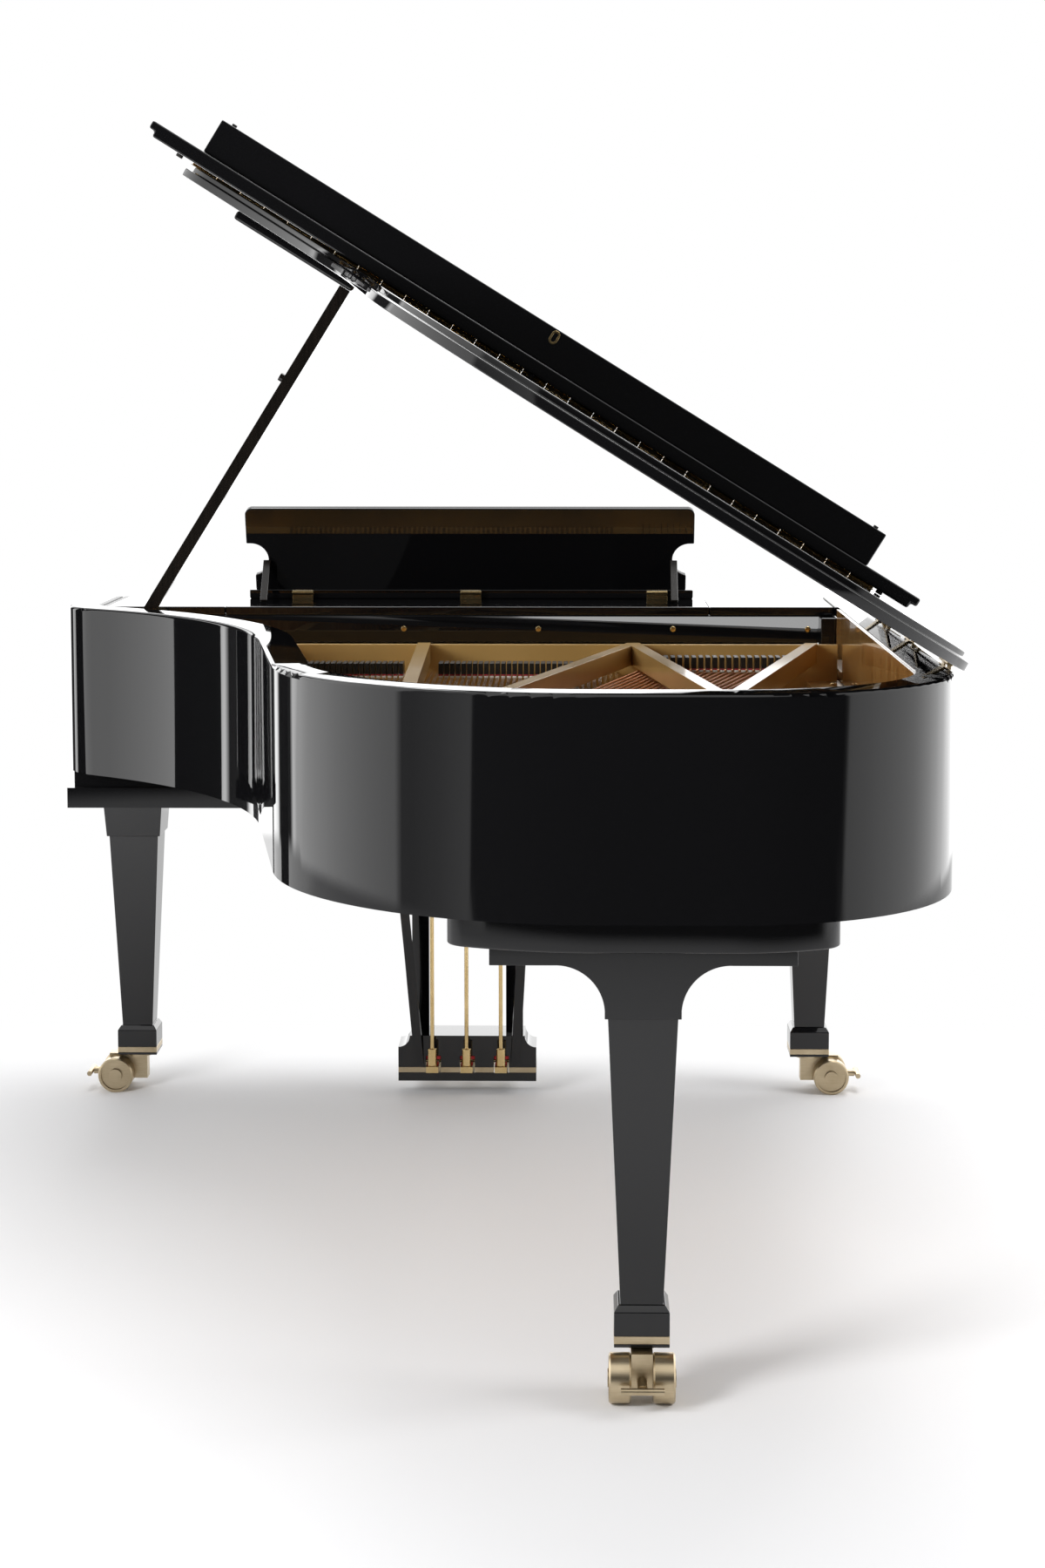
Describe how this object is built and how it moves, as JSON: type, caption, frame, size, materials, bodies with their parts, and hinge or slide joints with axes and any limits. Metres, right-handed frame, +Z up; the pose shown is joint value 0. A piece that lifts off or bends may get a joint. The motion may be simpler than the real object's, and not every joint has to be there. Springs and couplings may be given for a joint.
{
  "type": "grand piano",
  "caption": "Black polished grand piano on square tapered legs with brass casters: propped lid with folded front flap, music desk, keys, pedal lyre, plate and strings.",
  "frame": {"origin": "on the floor, under the middle of the piano's overall box", "axes": "+Z up, -Y towards the player, +Y towards the tail, +X towards the treble side"},
  "size_m": [1.5734, 2.144, 1.8616],
  "materials": {
    "black_polish": "high-gloss black polyester over wood",
    "strut_black": "satin black",
    "veneer": "figured brown veneer, glossy",
    "raw_wood": "plain hardwood, oiled",
    "spruce": "clear-lacquered spruce",
    "bridge_maple": "lacquered maple",
    "bronze_plate": "gold-bronze lacquer on cast iron",
    "steel": "bright drawn steel",
    "copper": "copper winding",
    "brass": "brushed lacquered brass",
    "red_felt": "pressed wool felt",
    "pale_felt": "pressed wool felt",
    "black_wood": "satin black",
    "key_white": "polished key covering",
    "bumper": "matt rubber"
  },
  "bodies": {
    "case": {"rim": "black_polish", "rim_lining": "veneer", "inner_rim": "raw_wood", "case_braces": "raw_wood", "keybed": "black_polish", "soundboard": "spruce", "bridges": "bridge_maple", "plate": "bronze_plate", "pin_block": "raw_wood", "plain_strings": "steel", "wound_strings": "copper", "tuning_pins": "steel", "leg_tail": "black_polish", "leg_treble": "black_polish", "leg_bass": "black_polish", "leg_bands": "brass", "tail_block": "black_polish", "lyre_box": "black_polish", "lyre_posts": "black_polish", "pedal_pins": "steel", "pedal_felts": "red_felt", "key_frame": "raw_wood", "key_slip_and_blocks": "black_polish", "stretcher": "black_polish", "action_rail": "raw_wood", "hammers": "pale_felt", "desk_shelf": "black_polish", "desk_rails": "black_polish", "desk_screws": "brass", "desk_hinges": "brass", "case_hinges": "brass", "prop_bracket": "black_polish"},
    "lid": {"lid_main": "black_polish", "lid_batten": "black_polish", "lid_hinges": "brass"},
    "flap": {"lid_flap": "black_polish", "flap_skirt": "black_polish", "flap_hinge": "brass", "flap_bumpers": "bumper", "lock_escutcheon": "brass"},
    "prop": {"lid_prop": "black_polish"},
    "desk": {"desk_panel": "black_polish"},
    "desk_legs": {"desk_struts": "strut_black"},
    "fall": {"fallboard": "black_polish"},
    "whites": {"white_keys": "key_white"},
    "blacks": {"black_keys": "black_wood"},
    "dampers": {"damper_felts": "pale_felt", "damper_heads": "black_wood"},
    "pedal_left": {"pedal_left": "brass"},
    "rod_left": {"pedal_rod_left": "brass"},
    "pedal_middle": {"pedal_middle": "brass"},
    "rod_middle": {"pedal_rod_middle": "brass"},
    "pedal_right": {"pedal_right": "brass"},
    "rod_right": {"pedal_rod_right": "brass"},
    "caster_treble": {"caster_fork_treble": "brass"},
    "wheels_treble": {"caster_wheels_treble": "brass"},
    "caster_bass": {"caster_fork_bass": "brass"},
    "wheels_bass": {"caster_wheels_bass": "brass"},
    "caster_tail": {"caster_fork_tail": "brass"},
    "wheels_tail": {"caster_wheels_tail": "brass"}
  },
  "joints": [
    {"name": "lid_lift", "type": "hinge", "parent": "case", "child": "lid", "pos_m": [-0.7493, 0.228, 1.008], "axis": [0, -1, 0], "range_deg": [0, 40]},
    {"name": "flap_fold", "type": "hinge", "parent": "lid", "child": "flap", "pos_m": [-0.12303, -0.427, 1.43253], "axis": [0.8493, 0, 0.5278], "range_deg": [0, 180]},
    {"name": "prop_fold", "type": "hinge", "parent": "case", "child": "prop", "pos_m": [0.6027, -0.406, 0.986], "axis": [0, -1, 0], "range_deg": [0, 57]},
    {"name": "desk_tilt", "type": "hinge", "parent": "case", "child": "desk", "pos_m": [0.0067, -0.698, 1.013], "axis": [1, 0, 0], "range_deg": [-70, 0]},
    {"name": "desk_strut_fold", "type": "hinge", "parent": "desk", "child": "desk_legs", "pos_m": [0.0067, -0.66936, 1.07707], "axis": [1, 0, 0], "range_deg": [0, 118.5]},
    {"name": "fallboard_swing", "type": "hinge", "parent": "case", "child": "fall", "pos_m": [0.0067, -0.834, 0.785], "axis": [1, 0, 0], "range_deg": [0, 90]},
    {"name": "white_key_dip", "type": "hinge", "parent": "case", "child": "whites", "pos_m": [0.0067, -0.772, 0.733], "axis": [1, 0, 0], "range_deg": [0, 2.5], "stiffness_Nm_per_rad": 120, "springref_deg": -20.05},
    {"name": "black_key_dip", "type": "hinge", "parent": "case", "child": "blacks", "pos_m": [0.0067, -0.772, 0.733], "axis": [1, 0, 0], "range_deg": [0, 2.5], "stiffness_Nm_per_rad": 120, "springref_deg": -20.05},
    {"name": "pedal_left_press", "type": "hinge", "parent": "case", "child": "pedal_left", "pos_m": [-0.0513, -0.754, 0.066], "axis": [1, 0, 0], "range_deg": [0, 4], "stiffness_Nm_per_rad": 60, "springref_deg": -8.59},
    {"name": "rod_left_lift", "type": "slide", "parent": "case", "child": "rod_left", "axis": [0, 0, 1], "range_m": [0, 0.0058]},
    {"name": "pedal_middle_press", "type": "hinge", "parent": "case", "child": "pedal_middle", "pos_m": [0.0167, -0.754, 0.066], "axis": [1, 0, 0], "range_deg": [0, 4], "stiffness_Nm_per_rad": 60, "springref_deg": -8.59},
    {"name": "rod_middle_lift", "type": "slide", "parent": "case", "child": "rod_middle", "axis": [0, 0, 1], "range_m": [0, 0.0058]},
    {"name": "pedal_right_press", "type": "hinge", "parent": "case", "child": "pedal_right", "pos_m": [0.0847, -0.754, 0.066], "axis": [1, 0, 0], "range_deg": [0, 4], "stiffness_Nm_per_rad": 60, "springref_deg": -8.59},
    {"name": "rod_right_lift", "type": "slide", "parent": "case", "child": "rod_right", "axis": [0, 0, 1], "range_m": [0, 0.0058]},
    {"name": "damper_lift", "type": "slide", "parent": "case", "child": "dampers", "axis": [0, 0, 1], "range_m": [0, 0.005]},
    {"name": "caster_treble_swivel", "type": "hinge", "parent": "case", "child": "caster_treble", "pos_m": [0.6827, -0.787, 0.08], "axis": [0, 0, 1], "continuous": true},
    {"name": "wheels_treble_roll", "type": "hinge", "parent": "caster_treble", "child": "wheels_treble", "pos_m": [0.7267, -0.787, 0.035], "axis": [0, 1, 0], "continuous": true},
    {"name": "caster_bass_swivel", "type": "hinge", "parent": "case", "child": "caster_bass", "pos_m": [-0.6693, -0.787, 0.08], "axis": [0, 0, 1], "continuous": true},
    {"name": "wheels_bass_roll", "type": "hinge", "parent": "caster_bass", "child": "wheels_bass", "pos_m": [-0.7133, -0.787, 0.035], "axis": [0, -1, 0], "continuous": true},
    {"name": "caster_tail_swivel", "type": "hinge", "parent": "case", "child": "caster_tail", "pos_m": [-0.2933, 0.908, 0.08], "axis": [0, 0, 1], "continuous": true},
    {"name": "wheels_tail_roll", "type": "hinge", "parent": "caster_tail", "child": "wheels_tail", "pos_m": [-0.2933, 0.952, 0.035], "axis": [-1, 0, 0], "continuous": true}
  ],
  "couplings": [
    {"joint": "desk_strut_fold", "follows": "desk_tilt", "ratio": -1.68},
    {"joint": "rod_left_lift", "follows": "pedal_left_press", "m_per_rad": 0.081},
    {"joint": "rod_middle_lift", "follows": "pedal_middle_press", "m_per_rad": 0.081},
    {"joint": "rod_right_lift", "follows": "pedal_right_press", "m_per_rad": 0.081},
    {"joint": "damper_lift", "follows": "pedal_right_press", "m_per_rad": 0.07}
  ]
}
